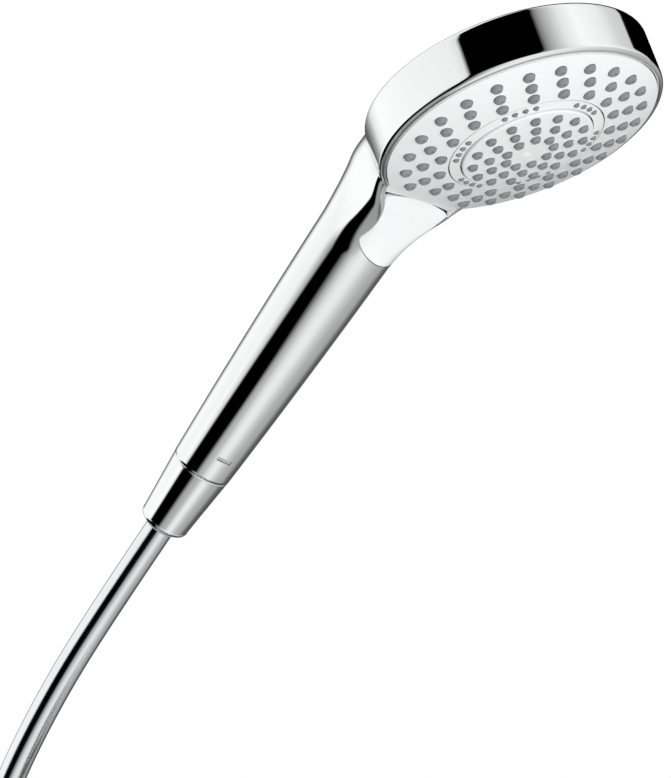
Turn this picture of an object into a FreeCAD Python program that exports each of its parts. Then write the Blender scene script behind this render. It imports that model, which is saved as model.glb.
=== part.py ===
import FreeCAD, Part
import math
import os

# Handheld shower head: one-piece chrome handle and head, white spray face with a mode button in its
# neck, and the hose with both of its nuts. Millimetres.
#
# Pieces are drawn in the handle frame: Z runs up the handle from the seam with the hose nut, and the
# spray leaves towards -Y. Pieces of the head are drawn in the face frame: Z runs out of the face, Y up
# it, and Z = 0 is the front edge of the chrome band. At export all of it leans forward, as it rests in a
# wall holder, about the middle of the conical nut, which is the part's origin.

V = FreeCAD.Vector
X_AXIS, Y_AXIS, Z_AXIS = V(1, 0, 0), V(0, 1, 0), V(0, 0, 1)

# ---- driving dimensions ----
holder_lean = 43.5            # degrees that the handle leans forward in its holder
face_tilt = 25.3              # degrees between the handle and the spray face
face_centre_y = -36.2         # centre of the band's front edge, in the handle frame
face_centre_z = 189.2
wall = 2.3                    # chrome shell's wall
gap = 0.35                    # clearance round a loose cover
running_gap = 0.05            # radial clearance of a pin or shaft

head_radius = 55.4            # chrome band
head_depth = 20.3
back_crown = 5.0              # how far the head's back bulges
back_edge_round = 1.6
bevel_width = 2.5             # grey bevel between band and white face
bevel_drop = 0.5

seam_radius = 12.8            # handle's lower end
handle_radius = 16.8          # handle just below the button
neck_start = 112.0
end_wall = 9.0                # thickness of the handle's lower end
nipple_seat = 8.5             # radius of the nipple's upper part, in the handle's end
neck_fillet = 35.0            # concave curve between handle and band, seen from the front

face_radius = 52.6            # white spray face
face_lift = 0.34              # its edge above the band's front edge
face_crown = 6.85             # bulge of the spherical face
plate_wall = 1.8
mat_wall = 1.2
outer_groove = 30.2           # the two circular grooves in the face
inner_groove = 25.7
groove_width = 0.5
cap_step = 1.1                # centre disc stands above the plate

nub_base, nub_tip, nub_height = 2.2, 1.8, 1.4
small_base, small_tip, small_height = 1.05, 0.85, 0.7
nub_bore, small_bore = 0.55, 0.35
hole_gap = 0.15

button_foot = 113.6           # button's rounded lower end
button_shoulder = 121.5       # where the rounded end meets the sides
button_half_width = 13.8      # at the shoulder
button_waist = (15.0, 131.5)  # half width and height half way up
button_corner = (20.4, 141.0)  # upper corner
button_top = 143.9            # middle of its arched upper edge
button_wall = 1.8
button_arch = 74.0            # radius of the arched edge between button and face
plate_foot = -49.35           # face plate's lowest point, in the face frame
button_press = 3.6            # degrees
button_clearance = -5.6       # depth of the shell's opening, so that the pressed button stays clear
pivot_y, pivot_z = -9.0, 118.5
pivot_pin_radius = 1.2

lever_angle = 21.8            # degrees that the rocker turns for a full press
lever_y, lever_z = -9.4, 145.5
lever_pin_radius = 1.0
lever_x, lever_thick = 8.6, 2.6
lever_arm_in = 4.05
lever_half_width = 1.4

tooth_module = 0.8
drive_teeth = 18
step_angle = 40.0             # one press turns the drive ring by one mode
rack_z0, rack_z1 = -19.6, -17.4
rack_foot, rack_top = -49.2, 11.0

tube_radius, tube_bore = 4.6, 3.4
socket_z, socket_wall = -13.6, 1.2   # valve's inlet socket, in the face frame
tube_y = 2.0
bell_foot = 9.4               # the tube's wide lower end
oring_y = -31.0               # upper O-ring, in the face frame
spigot_oring_z = 11.3
valve_radius, valve_wall = 16.0, 2.0
valve_back, valve_front = -17.0, -9.2
port_circle, port_radius = 9.5, 1.9
spindle_radius = 2.4

nipple_radius, nipple_bore = 10.35, 4.5
nipple_length = 12.2
washer_thick = 2.4
flange_thick, flange_radius = 1.4, 9.6
ferrule_radius = 7.2
clip_height, clip_angle, clip_width = 11.2, 24.0, 6.6

nut_length = 31.0
nut_top_radius, nut_end_radius = 12.7, 10.3
hose_radius = 6.0
bush_radius, bush_lip = 7.7, 1.2
coil_radius = 68.4            # middle of the hose's turns in its tied coil
coil_turns = 3
far_stretch = 56.0            # straight hose between the coil and its far fitting
supply_radius, supply_length = 12.0, 21.0
supply_flange_top, supply_washer_top, supply_washer_foot = -10.0, -11.6, -13.6
supply_thread_radius = 9.3     # G1/2 minor diameter is 18.6
supply_thread_length = 9.5
tie_wall, tie_height = 1.4, 12.0

# ---- worked out from them ----
tilt = math.radians(face_tilt)
cone_middle = nut_length / 2 + 0.15
sphere_radius = face_radius ** 2 / (2 * face_crown) + face_crown / 2
sphere_z = face_lift + face_crown - sphere_radius
head_bore = head_radius - bevel_width
pitch_radius = tooth_module * drive_teeth / 2
nut_top = -0.3
nut_foot = -nut_length
flange_top = -nipple_length - washer_thick
flange_foot = flange_top - flange_thick


# ---- frames and small helpers ----
def from_face(shape):
    """Face frame to handle frame."""
    placed = shape.copy()
    placed.rotate(V(0, 0, 0), X_AXIS, 90 + face_tilt)
    placed.translate(V(0, face_centre_y, face_centre_z))
    return placed


def face_point(x, y, z):
    """A point of the face frame, in the handle frame."""
    return V(
        x,
        face_centre_y - y * math.sin(tilt) - z * math.cos(tilt),
        face_centre_z + y * math.cos(tilt) - z * math.sin(tilt),
    )


def from_handle(shape):
    """Handle frame to the part's own frame."""
    placed = shape.copy()
    placed.translate(V(0, 0, cone_middle))
    placed.rotate(V(0, 0, 0), X_AXIS, holder_lean)
    return placed


def rod(radius, start, end):
    """Round bar from one point to another."""
    span = end.sub(start)
    return Part.makeCylinder(radius, span.Length, start, span)


def disc(radius, z0, z1, x=0.0, y=0.0):
    return Part.makeCylinder(radius, z1 - z0, V(x, y, z0), Z_AXIS)


def ring(outer, inner, z0, z1, x=0.0, y=0.0):
    return disc(outer, z0, z1, x, y).cut(disc(inner, z0 - 1, z1 + 1, x, y))


def block(x0, x1, y0, y1, z0, z1):
    return Part.makeBox(x1 - x0, y1 - y0, z1 - z0, V(x0, y0, z0))


def polar(radius, degrees):
    return radius * math.cos(math.radians(degrees)), radius * math.sin(math.radians(degrees))


def revolve(points, degrees=360):
    """Solid of revolution about Z of a polygon of (radius, z) points."""
    corners = [V(r, 0, z) for r, z in points]
    outline = Part.makePolygon(corners + corners[:1])
    return Part.Face(outline).revolve(V(0, 0, 0), Z_AXIS, degrees)


def torus(major, minor, z, x=0.0, y=0.0):
    return Part.makeTorus(major, minor, V(x, y, z), Z_AXIS)


# ---- the chrome shell's outer and inner forms ----
def section(centre, turn, half_width, front, back, power):
    """Closed smooth outline across the handle or neck; power 2 is an ellipse, more is squarer."""
    points = []
    count = 28
    for i in range(count):
        angle = 2 * math.pi * (i + 0.5) / count
        c, s = math.cos(angle), math.sin(angle)
        across = half_width * math.copysign(abs(c) ** (2 / power), c)
        reach = (front if s > 0 else back) * math.copysign(abs(s) ** (2 / power), s)
        forward = V(0, -math.cos(turn), -math.sin(turn))
        points.append(centre + V(across, 0, 0) + forward * reach)
    curve = Part.BSplineCurve()
    curve.interpolate(Points=points, PeriodicFlag=True)
    return Part.Wire(curve.toShape())


def outline_half_width(y):
    """Half width of the front outline at height y of the face frame: band, concave neck, handle."""
    centre_x = handle_radius + neck_fillet
    reach = head_radius + neck_fillet
    centre_y = -math.sqrt(reach ** 2 - centre_x ** 2)
    if y <= centre_y:
        return handle_radius
    return centre_x - math.sqrt(max(neck_fillet ** 2 - (y - centre_y) ** 2, 0.0))


def handle_radius_at(z):
    """Radius of the round handle, slightly fuller than a cone."""
    share = z / neck_start
    return seam_radius + (handle_radius - seam_radius) * share + 1.6 * share * (1 - share)


def handle_rows(first):
    """Outer sections of handle and neck, from height first to inside the head.

    Each row is the section's centre in the handle frame, its share of the face's tilt, half width,
    reach to the front and to the back, and power.
    """
    count = 14
    rows = []
    for k in range(count):
        z = first + (neck_start - first) * k / count
        radius = handle_radius_at(z)
        rows.append((V(0, 0, z), 0.0, radius, radius, radius, 2.0))
    r = handle_radius
    rows += [
        (V(0, 0.0, neck_start), 0.0, r, r, r, 2.0),
        (V(0, 0.0, neck_start + 6), 0.05, r + 0.2, r - 0.3, r, 2.05),
        (V(0, 0.0, neck_start + 12), 0.15, r + 0.8, r - 0.7, r - 0.1, 2.15),
        (V(0, -0.2, neck_start + 18), 0.3, r + 1.8, r - 1.1, r - 0.4, 2.35),
        (V(0, -0.7, neck_start + 24), 0.48, r + 3.6, r - 1.6, r - 0.9, 2.6),
        (V(0, -1.7, neck_start + 30), 0.7, r + 6.4, r - 2.3, r - 1.6, 2.9),
    ]
    in_head = ((-48.0, 11.6, 13.0, 3.6), (-40.0, 11.5, 11.2, 4.2), (-32.0, 11.3, 9.4, 4.6))
    for y, front, back, power in in_head:
        half = min(outline_half_width(y), 34.0)
        rows.append((face_point(0, y, -12.0), 1.0, half, front, back, power))
    return rows


def handle_form(inset, first=0.0):
    """Handle and neck as one smooth solid, inset by the wall."""
    wires = [
        section(centre, share * tilt, half - inset, front - inset, back - inset, power)
        for centre, share, half, front, back, power in handle_rows(first)
    ]
    return Part.makeLoft(wires, True, False)


def crown_z(radius, lift=0.0):
    """Height of the head's crowned back at a radius, raised inwards by lift."""
    return -head_depth - back_crown * (1 - (radius / head_radius) ** 2) + lift


def head_form():
    """Band with its front edge rounded over and its back crowned, in the face frame."""
    edge = back_edge_round
    profile = [
        Part.LineSegment(V(0, 0, crown_z(0)), V(0, 0, 0)),
        Part.LineSegment(V(0, 0, 0), V(head_radius - 0.7, 0, 0)),
        Part.Arc(V(head_radius - 0.7, 0, 0), V(head_radius - 0.2, 0, -0.2), V(head_radius, 0, -0.7)),
        Part.LineSegment(V(head_radius, 0, -0.7), V(head_radius, 0, -head_depth + edge)),
        Part.Arc(
            V(head_radius, 0, -head_depth + edge),
            V(head_radius - 0.3 * edge, 0, -head_depth + 0.3 * edge),
            V(head_radius - edge, 0, crown_z(head_radius - edge)),
        ),
        Part.Arc(
            V(head_radius - edge, 0, crown_z(head_radius - edge)),
            V(head_radius / 2, 0, crown_z(head_radius / 2)),
            V(0, 0, crown_z(0)),
        ),
    ]
    wire = Part.Wire([piece.toShape() for piece in profile])
    return Part.Face(wire).revolve(V(0, 0, 0), Z_AXIS, 360)


def head_cavity():
    """Room inside the band and behind the face, in the face frame."""
    profile = [
        Part.LineSegment(V(0, 0, crown_z(0, wall)), V(0, 0, 12)),
        Part.LineSegment(V(0, 0, 12), V(head_bore + 0.6, 0, 12)),
        Part.LineSegment(V(head_bore + 0.6, 0, 12), V(head_radius - 0.7, 0, 0)),
        Part.LineSegment(V(head_radius - 0.7, 0, 0), V(head_bore, 0, -bevel_drop)),
        Part.LineSegment(V(head_bore, 0, -bevel_drop), V(head_bore, 0, -head_depth + wall)),
        Part.Arc(
            V(head_bore, 0, -head_depth + wall),
            V(head_radius / 2, 0, crown_z(head_radius / 2, wall)),
            V(0, 0, crown_z(0, wall)),
        ),
    ]
    wire = Part.Wire([piece.toShape() for piece in profile])
    return Part.Face(wire).revolve(V(0, 0, 0), Z_AXIS, 360)


def button_outline(grow, back=-8.5):
    """Prism of the button's front outline, running through the neck's front wall to depth back."""
    waist_x, waist_z = button_waist
    corner_x, corner_z = button_corner
    half, corner = button_half_width + grow, V(corner_x + grow * 1.5, 0, corner_z + grow * 0.6)
    left = V(-corner.x, 0, corner.z)
    foot = V(0, 0, button_foot - grow)
    shoulder_right, shoulder_left = V(half, 0, button_shoulder), V(-half, 0, button_shoulder)
    bulge = math.sqrt(0.5)
    low = V(half * bulge, 0, button_shoulder - (button_shoulder - foot.z) * bulge)
    end = Part.BSplineCurve()
    end.interpolate(
        Points=[shoulder_right, low, foot, V(-low.x, 0, low.z), shoulder_left],
        InitialTangent=V(0, 0, -1), FinalTangent=V(0, 0, 1),
    )
    edges = [
        Part.Arc(left, V(0, 0, button_top + grow), corner).toShape(),
        Part.Arc(corner, V(waist_x + grow, 0, waist_z), shoulder_right).toShape(),
        end.toShape(),
        Part.Arc(shoulder_left, V(-waist_x - grow, 0, waist_z), left).toShape(),
    ]
    front = -38.5
    prism = Part.Face(Part.Wire(edges)).extrude(V(0, back - front, 0))
    prism.translate(V(0, front, 0))
    return prism


def face_outline(grow):
    """Prism of the white face's outline in the face frame: round, with two ears beside the button."""
    round_part = disc(face_radius + grow, -8, 14)
    ear = 19.2 + grow
    low = -55.0
    corners = [V(-25 - grow, -45, -8), V(-ear, low, -8), V(ear, low, -8), V(25 + grow, -45, -8)]
    ears = Part.Face(Part.makePolygon(corners + corners[:1])).extrude(V(0, 0, 22))
    return round_part.fuse(ears)


def make_handle_shell():
    outer = handle_form(0.0).fuse(from_face(head_form()))
    inner = handle_form(wall, end_wall).fuse(from_face(head_cavity()))
    shell = outer.cut(inner)
    shell = shell.cut(disc(nipple_seat + 0.1, -1, end_wall + 3))
    shell = shell.cut(button_outline(gap, button_clearance))
    window = from_face(face_outline(0.3).common(block(-30, 30, -60, -40, -3.2, 14)))
    shell = shell.cut(window.cut(button_outline(gap)))
    slot_y, slot_z = -seam_radius, clip_height
    slot = block(-clip_width / 2, clip_width / 2, slot_y - 3, slot_y + 5, slot_z - 0.9, slot_z + 0.9)
    slot.rotate(V(0, 0, 0), Z_AXIS, -clip_angle)
    return shell.cut(slot)


# ---- the spray face ----
def skin_z(radius, depth):
    """Height of the spherical face at a radius, sunk by depth."""
    return sphere_z + math.sqrt((sphere_radius - depth) ** 2 - radius ** 2)


def dome_layer(outer, inner, top, bottom):
    """Layer of the domed face between two depths below its skin, and between two radii."""
    middle = (outer + inner) / 2
    edges = [
        Part.Arc(
            V(inner, 0, skin_z(inner, top)),
            V(middle, 0, skin_z(middle, top)),
            V(outer, 0, skin_z(outer, top)),
        ),
        Part.LineSegment(V(outer, 0, skin_z(outer, top)), V(outer, 0, skin_z(outer, bottom))),
        Part.Arc(
            V(outer, 0, skin_z(outer, bottom)),
            V(middle, 0, skin_z(middle, bottom)),
            V(inner, 0, skin_z(inner, bottom)),
        ),
        Part.LineSegment(V(inner, 0, skin_z(inner, bottom)), V(inner, 0, skin_z(inner, top))),
    ]
    wire = Part.Wire([edge.toShape() for edge in edges])
    return Part.Face(wire).revolve(V(0, 0, 0), Z_AXIS, 360)


def face_ball(depth):
    """Ball whose skin lies at a depth below the domed face; its poles are turned away from the face."""
    ball = Part.makeSphere(sphere_radius - depth, V(0, 0, sphere_z))
    ball.rotate(V(0, 0, sphere_z), X_AXIS, 90)
    return ball


def outer_places():
    places = [polar(45.8, 7.5 + 15 * k) for k in range(24)]
    places = [place for place in places if place[1] > -44 or abs(place[0]) > 10]
    places += [polar(39.8, 90 + 360 / 21 * k) for k in range(21)]
    return places + [polar(33.8, 20 * k) for k in range(18)]


def ring_places():
    return [polar(27.9, 30 + 60 * k + step) for k in range(6) for step in (-12.3, -4.1, 4.1, 12.3)]


def centre_places():
    places = [polar(21.6, 90 + 24 * k) for k in range(15)]
    places += [polar(15.5, 15 + 30 * k) for k in range(12)]
    return places + [polar(9.4, 90 + 40 * k) for k in range(9)]


def nubs(places, base, tip, height, lift=0.0):
    """Soft nozzles that stand out of the face, each from the mat below it."""
    solids = []
    for x, y in places:
        radius = math.hypot(x, y)
        foot = skin_z(radius, plate_wall + 0.7)
        top = skin_z(radius, 0) + lift + height
        solids.append(Part.makeCone(base, tip, top - foot, V(x, y, foot)))
    return solids


def bores(places, radius):
    return [disc(radius, -6, 14, x, y) for x, y in places]


def foot_cut():
    """Everything below the button's arched upper edge, in the face frame."""
    return disc(button_arch, -30, 20, 0, plate_foot - button_arch)


def chord_cut(y):
    return block(-60, 60, -80, y, -30, 20)


def make_face_plate():
    blank = dome_layer(face_radius, outer_groove + groove_width / 2, 0.0, plate_wall)
    ears = dome_layer(58.0, face_radius - 1.0, 0.0, plate_wall).common(face_outline(0.0))
    plate = blank.fuse(ears).cut(foot_cut())
    return plate.cut(bores(outer_places(), nub_base + hole_gap))


def make_spray_ring():
    band = dome_layer(outer_groove - groove_width / 2, inner_groove + groove_width / 2, 0.0, plate_wall)
    return band.cut(bores(ring_places(), small_base + hole_gap))


def make_center_cap():
    radius = inner_groove - groove_width / 2
    cap = dome_layer(radius, 0.0, -cap_step, plate_wall)
    rim = [edge for edge in cap.Edges if abs(edge.BoundBox.ZMin - skin_z(radius, -cap_step)) < 0.01]
    cap = cap.makeFillet(0.6, rim[:1])
    return cap.cut(bores(centre_places(), nub_base - 0.3 + hole_gap))


def make_outer_mat():
    mat = dome_layer(50.5, 31.2, plate_wall, plate_wall + mat_wall).cut(chord_cut(-46.5))
    mat = mat.multiFuse(nubs(outer_places(), nub_base, nub_tip, nub_height))
    return mat.cut(bores(outer_places(), nub_bore))


def make_ring_mat():
    mat = dome_layer(29.5, 26.3, plate_wall, plate_wall + mat_wall)
    mat = mat.multiFuse(nubs(ring_places(), small_base, small_tip, small_height))
    return mat.cut(bores(ring_places(), small_bore))


def make_center_mat():
    over, under = face_ball(plate_wall), face_ball(plate_wall + mat_wall)
    mat = disc(24.6, -6, 12).common(over).cut(under)
    mat = mat.multiFuse(nubs(centre_places(), nub_base - 0.3, nub_tip - 0.2, nub_height, cap_step))
    return mat.cut(bores(centre_places(), nub_bore))


def make_face_seal():
    return torus(51.6, 0.8, -4.6).cut(chord_cut(-45.5))


# ---- water distribution behind the face ----
def make_distributor():
    """Body with one chamber for each spray, open to the mats, and ducts in its back."""
    body = disc(50.5, -7.4, 8).common(face_ball(plate_wall + mat_wall))
    pockets = [disc(24.0, -3.6, 9), ring(29.2, 26.8, -3.6, 9), ring(49.0, 31.8, -3.6, 9)]
    body = body.cut(pockets)
    for k in range(3):
        x, y = polar(port_circle, 90 + 120 * k)
        body = body.cut(disc(port_radius, -8, -3, x, y))
        for reach, step in ((28.0, 40), (40.4, 80)):
            angle = 90 + 120 * k + step
            duct = block(port_circle - 1.5, reach + 1.2, -1.5, 1.5, -8, -5.4)
            duct.rotate(V(0, 0, 0), Z_AXIS, angle)
            x, y = polar(reach, angle)
            body = body.cut([duct, disc(1.2, -6, -3, x, y)])
    return body.cut(chord_cut(-46.5)).cut(screw_holes(1.1, -8, -4.4))


def screw_places():
    return [polar(45.0, angle) for angle in (0, 60, 120, 180, 225, 315)]


def screw_holes(radius, z0, z1):
    return [disc(radius, z0, z1, x, y) for x, y in screw_places()]


def make_distributor_cover():
    cover = disc(50.0, valve_front, -7.4).cut(chord_cut(-46.5))
    ports = [disc(port_radius, -10, -7, *polar(port_circle, 90 + step_angle * k)) for k in range(9)]
    grooves = [
        torus(port_radius + 0.6, 0.5, valve_front + 0.05, *polar(port_circle, 90 + step_angle * k))
        for k in range(9)
    ]
    pilot = disc(spindle_radius - 0.4, -9.3, -7.9)
    notch = block(-socket_wall - 3.4, socket_wall + 3.4, -60, -20.5, -9.3, -7.3)
    return cover.cut(ports + grooves + [pilot, notch]).cut(screw_holes(1.5, -10, -7))


def make_port_seals():
    seals = [
        torus(port_radius + 0.6, 0.45, valve_front + 0.05, *polar(port_circle, 90 + step_angle * k))
        for k in range(9)
    ]
    return Part.makeCompound(seals)


def make_cover_screws():
    """Six pan-head screws that close the cover on the distributor."""
    screws = []
    for x, y in screw_places():
        shank = disc(1.05, -9.2, -4.6, x, y)
        head = disc(2.2, -10.9, -9.2, x, y).cut(block(x - 1.5, x + 1.5, y - 0.25, y + 0.25, -11.0, -10.1))
        head = head.cut(block(x - 0.25, x + 0.25, y - 1.5, y + 1.5, -11.0, -10.1))
        screws.append(shank.fuse(head))
    return Part.makeCompound(screws)


def make_valve_housing():
    """Cup behind the cover that holds the selector, with the tube's socket and the rack's guide."""
    socket = rod(tube_radius + 0.15 + socket_wall, V(0, -40, socket_z), V(0, -10, socket_z))
    socket = socket.cut(block(-9, 9, -20.6, 0, valve_front, 0))
    cup = disc(valve_radius, valve_back, valve_front)
    flange = ring(valve_radius + 2.5, valve_radius - 1, valve_front - 1.4, valve_front)
    guide = block(lever_x + 2.6, lever_x + 4.2, -8, 8, rack_z0, valve_back + 0.2)
    bracket = block(5.5, 10.5, 8, 22.5, valve_back, valve_back + 1.5)
    stop = block(5.5, 10.5, 20.6, 22.5, rack_z0, valve_back + 0.2)
    body = cup.fuse([socket, flange, guide, bracket, stop])
    body = body.cut(disc(valve_radius - valve_wall, valve_back + 1.5, valve_front + 1))
    body = body.cut(rod(tube_bore, V(0, -30, socket_z), V(0, -10, socket_z)))
    body = body.cut(rod(tube_radius + 0.15, V(0, -41, socket_z), V(0, -25, socket_z)))
    body = body.cut(disc(spindle_radius + running_gap, -18, -14))
    return body.cut(disc(4.1, valve_back + 0.7, -14))


def make_spindle_seal():
    return torus(spindle_radius + running_gap + 0.75, 0.75, valve_back + 1.5)


# ---- selector: button, rocker, rack, drive ring, ratchet ----
def tooth_ring(root, tip, count, z0, z1, share=0.42):
    """Disc with straight-sided teeth."""
    corners = []
    pitch = 360 / count
    wide, narrow = 0.5 * share + 0.14, 0.5 * share - 0.1
    for k in range(count):
        for step, radius in ((-wide, root), (-narrow, tip), (narrow, tip), (wide, root)):
            x, y = polar(radius, (k + step) * pitch)
            corners.append(V(x, y, z0))
    return Part.Face(Part.makePolygon(corners + corners[:1])).extrude(V(0, 0, z1 - z0))


def make_drive_ring():
    """Toothed ring round the spindle, with three inward tongues that catch the ratchet."""
    body = tooth_ring(pitch_radius - 1.0, pitch_radius + 0.75, drive_teeth, rack_z0, rack_z1)
    body = body.cut(disc(5.4, rack_z0 - 1, rack_z1 + 1))
    tongues = []
    for k in range(3):
        tongue = block(4.75, 5.7, -0.6, 0.6, rack_z0 + 0.3, rack_z1 - 0.3)
        tongue.rotate(V(0, 0, 0), Z_AXIS, 30 + 120 * k)
        tongues.append(tongue)
    return body.fuse(tongues)


def make_selector_spindle():
    """Shaft with the nine-tooth ratchet on its dry end."""
    shaft = disc(spindle_radius, rack_z0 - 0.6, -9.8)
    corners = []
    for k in range(9):
        corners.append(V(*polar(4.6, 40 * k), rack_z0 + 0.2))
        corners.append(V(*polar(3.5, 40 * k + 4), rack_z0 + 0.2))
    wheel = Part.Face(Part.makePolygon(corners + corners[:1])).extrude(V(0, 0, rack_z1 - rack_z0 - 0.4))
    tip = disc(spindle_radius - 0.5, -9.8, -8.4)
    return shaft.fuse([wheel, tip])


def make_selector_disc():
    plate = ring(valve_radius - valve_wall - 0.4, spindle_radius, -11.6, -9.7)
    return plate.cut([disc(port_radius + 0.3, -12, -9, *polar(port_circle, 90 + 120 * k)) for k in range(3)])


def make_pusher_rack():
    """Bar that the rocker pushes up beside the spindle; its teeth turn the drive ring."""
    pitch = math.pi * tooth_module
    pitch_line = pitch_radius
    back = pitch_line + 2.8
    corners = [V(back, rack_foot, rack_z0), V(pitch_line + 0.9, rack_foot, rack_z0)]
    first = -5
    for k in range(first, 4):
        centre = (k + 0.5) * pitch
        if centre + 0.5 * pitch > rack_top:
            break
        corners += [
            V(pitch_line + 0.9, centre - 0.32 * pitch, rack_z0),
            V(pitch_line - 0.7, centre - 0.12 * pitch, rack_z0),
            V(pitch_line - 0.7, centre + 0.12 * pitch, rack_z0),
            V(pitch_line + 0.9, centre + 0.32 * pitch, rack_z0),
        ]
    corners += [V(pitch_line + 0.9, rack_top, rack_z0), V(back, rack_top, rack_z0)]
    return Part.Face(Part.makePolygon(corners + corners[:1])).extrude(V(0, 0, rack_z1 - rack_z0))


def make_return_spring():
    """Compression spring that sends the rack, rocker and button back."""
    turns, wire_radius = 5, 0.3
    length = 20.4 - rack_top - 0.2 - 2 * wire_radius
    helix = Part.makeHelix(length / turns, length, 1.0)
    profile = Part.Wire(Part.makeCircle(wire_radius, V(1.0, 0, 0), Y_AXIS))
    spring = Part.Wire(helix).makePipeShell([profile], True, True)
    spring.rotate(V(0, 0, 0), X_AXIS, -90)
    spring.translate(V(pitch_radius + 1.8, rack_top + 0.1 + wire_radius, (rack_z0 + rack_z1) / 2))
    return spring


def capsule(x0, x1, y0, z0, y1, z1, half):
    """Flat round-ended arm of the rocker, in the handle frame."""
    ends = [rod(half, V(x0, y0, z0), V(x1, y0, z0)), rod(half, V(x0, y1, z1), V(x1, y1, z1))]
    along = V(0, y1 - y0, z1 - z0)
    length = along.Length
    web = Part.makeBox(x1 - x0, length, 2 * half, V(x0, 0, -half))
    web.rotate(V(0, 0, 0), X_AXIS, math.degrees(math.atan2(z1 - z0, y1 - y0)))
    web.translate(V(0, y0, z0))
    return ends[0].fuse([ends[1], web])


def lever_tip():
    """Where the rocker's long arm ends: just below the rack's foot."""
    return face_point(0, rack_foot - lever_half_width - 0.2, (rack_z0 + rack_z1) / 2)


def make_rocker_lever():
    x0, x1 = lever_x - lever_thick / 2 + 0.4, lever_x + lever_thick / 2 + 0.4
    tip = lever_tip()
    arm = capsule(x0, x1, lever_y, lever_z, tip.y, tip.z, lever_half_width)
    short = capsule(x0, x1, lever_y, lever_z, lever_y, lever_z - lever_arm_in, lever_half_width)
    hub = rod(1.9, V(x0, lever_y, lever_z), V(x1, lever_y, lever_z))
    hole = rod(lever_pin_radius + running_gap, V(x0 - 1, lever_y, lever_z), V(x1 + 1, lever_y, lever_z))
    return arm.fuse([short, hub]).cut(hole)


def make_rocker_pin():
    return rod(lever_pin_radius, V(6.0, lever_y, lever_z), V(12.9, lever_y, lever_z))


def make_select_button():
    """White key flush with the neck's front; it tips inwards about the pin near its foot."""
    skin = handle_form(0.0).cut(handle_form(button_wall).common(block(-60, 60, -40, 40, 100, 160)))
    front = block(-30, 30, -40, -6.0, 100, 150)
    key = skin.common(button_outline(0.0)).common(front)
    lugs = []
    for side in (-1, 1):
        x0, x1 = sorted((side * 5.2, side * 7.4))
        lug = block(x0, x1, -13.9, pivot_y, pivot_z - 2.0, pivot_z + 2.0)
        lug = lug.fuse(rod(2.0, V(x0, pivot_y, pivot_z), V(x1, pivot_y, pivot_z)))
        lugs.append(lug)
    rib_z = lever_z - lever_arm_in
    rib_front, rib_back = -14.4, lever_y - lever_half_width - 0.2
    rib = block(lever_x - 0.9, lever_x + 1.7, rib_front, rib_back, rib_z - 1.6, rib_z + 0.2)
    key = key.fuse(lugs + [rib])
    return key.cut(rod(pivot_pin_radius + running_gap, V(-12, pivot_y, pivot_z), V(12, pivot_y, pivot_z)))


def make_button_pin():
    return rod(pivot_pin_radius, V(-9.3, pivot_y, pivot_z), V(9.3, pivot_y, pivot_z))


def make_mechanism_frame():
    """Moulded bracket in the neck that carries both pins."""
    plate_front, plate_back = -5.4, -3.8
    plate = block(-10.6, 10.6, plate_front, plate_back, 112.5, 136)
    arms = [block(x0, x1, plate_front, plate_back, 130, 147) for x0, x1 in ((5.9, 7.6), (10.9, 12.6))]
    tie = block(5.9, 12.6, plate_front, plate_back, 130, 136)
    ears = []
    for side in (-1, 1):
        x0, x1 = sorted((side * 7.8, side * 9.3))
        ear = block(x0, x1, pivot_y, plate_back, pivot_z - 1.9, pivot_z + 1.9)
        ears.append(ear.fuse(rod(1.9, V(x0, pivot_y, pivot_z), V(x1, pivot_y, pivot_z))))
    for x0, x1 in ((5.9, 7.6), (10.9, 12.6)):
        ear = block(x0, x1, lever_y, plate_back, lever_z - 1.7, lever_z + 1.5)
        ears.append(ear.fuse(rod(1.7, V(x0, lever_y, lever_z), V(x1, lever_y, lever_z))))
    body = plate.fuse(arms + [tie] + ears)
    return body.cut([
        rod(pivot_pin_radius, V(-12, pivot_y, pivot_z), V(12, pivot_y, pivot_z)),
        rod(lever_pin_radius, V(5, lever_y, lever_z), V(14, lever_y, lever_z)),
    ])


# ---- waterway in the handle ----
def bent_tube(radius, start, end_y):
    """Straight up the handle, one bend, then along the face to the valve's socket."""
    bend_radius = 60.0
    corner_y = (face_centre_y - tube_y - socket_z * math.cos(tilt)) / math.sin(tilt)
    corner = face_point(0, corner_y, socket_z)
    end = face_point(0, end_y, socket_z)
    leg = bend_radius * math.tan(tilt / 2)
    before = V(0, tube_y, corner.z - leg)
    direction = end.sub(corner).normalize()
    after = corner + direction * leg
    centre = V(0, tube_y - bend_radius, before.z)
    middle = centre + V(0, bend_radius * math.cos(tilt / 2), bend_radius * math.sin(tilt / 2))
    edges = [
        Part.LineSegment(start, before).toShape(),
        Part.Arc(before, middle, after).toShape(),
        Part.LineSegment(after, end).toShape(),
    ]
    path = Part.Wire(edges)
    profile = Part.Wire(Part.makeCircle(radius, start, Z_AXIS))
    return path.makePipeShell([profile], True, True)


def make_water_tube():
    tube = bent_tube(tube_radius, V(0, tube_y, 20), -25.4)
    hollow = bent_tube(tube_bore, V(0, tube_y, 19), -25.0)
    bell = disc(8.0, bell_foot, 15, 0, tube_y).fuse(Part.makeCone(8.0, tube_radius, 6, V(0, tube_y, 15)))
    bell = bell.cut([disc(6.6, 7.0, 13.4, 0, tube_y), disc(tube_bore, 12, 24, 0, tube_y)])
    groove = torus(tube_radius - 0.4, 0.6, 0)
    groove.rotate(V(0, 0, 0), X_AXIS, -90)
    groove.translate(V(0, oring_y, socket_z))
    return tube.fuse(bell).cut([hollow, from_face(groove)])


def make_waterway_orings():
    """One ring in the valve's socket, one round the nipple's spigot."""
    upper = torus(tube_radius - 0.4, 0.52, 0)
    upper.rotate(V(0, 0, 0), X_AXIS, -90)
    upper.translate(V(0, oring_y, socket_z))
    lower = torus(5.95, 0.6, spigot_oring_z, 0, tube_y)
    return Part.makeCompound([from_face(upper), lower])


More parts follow.
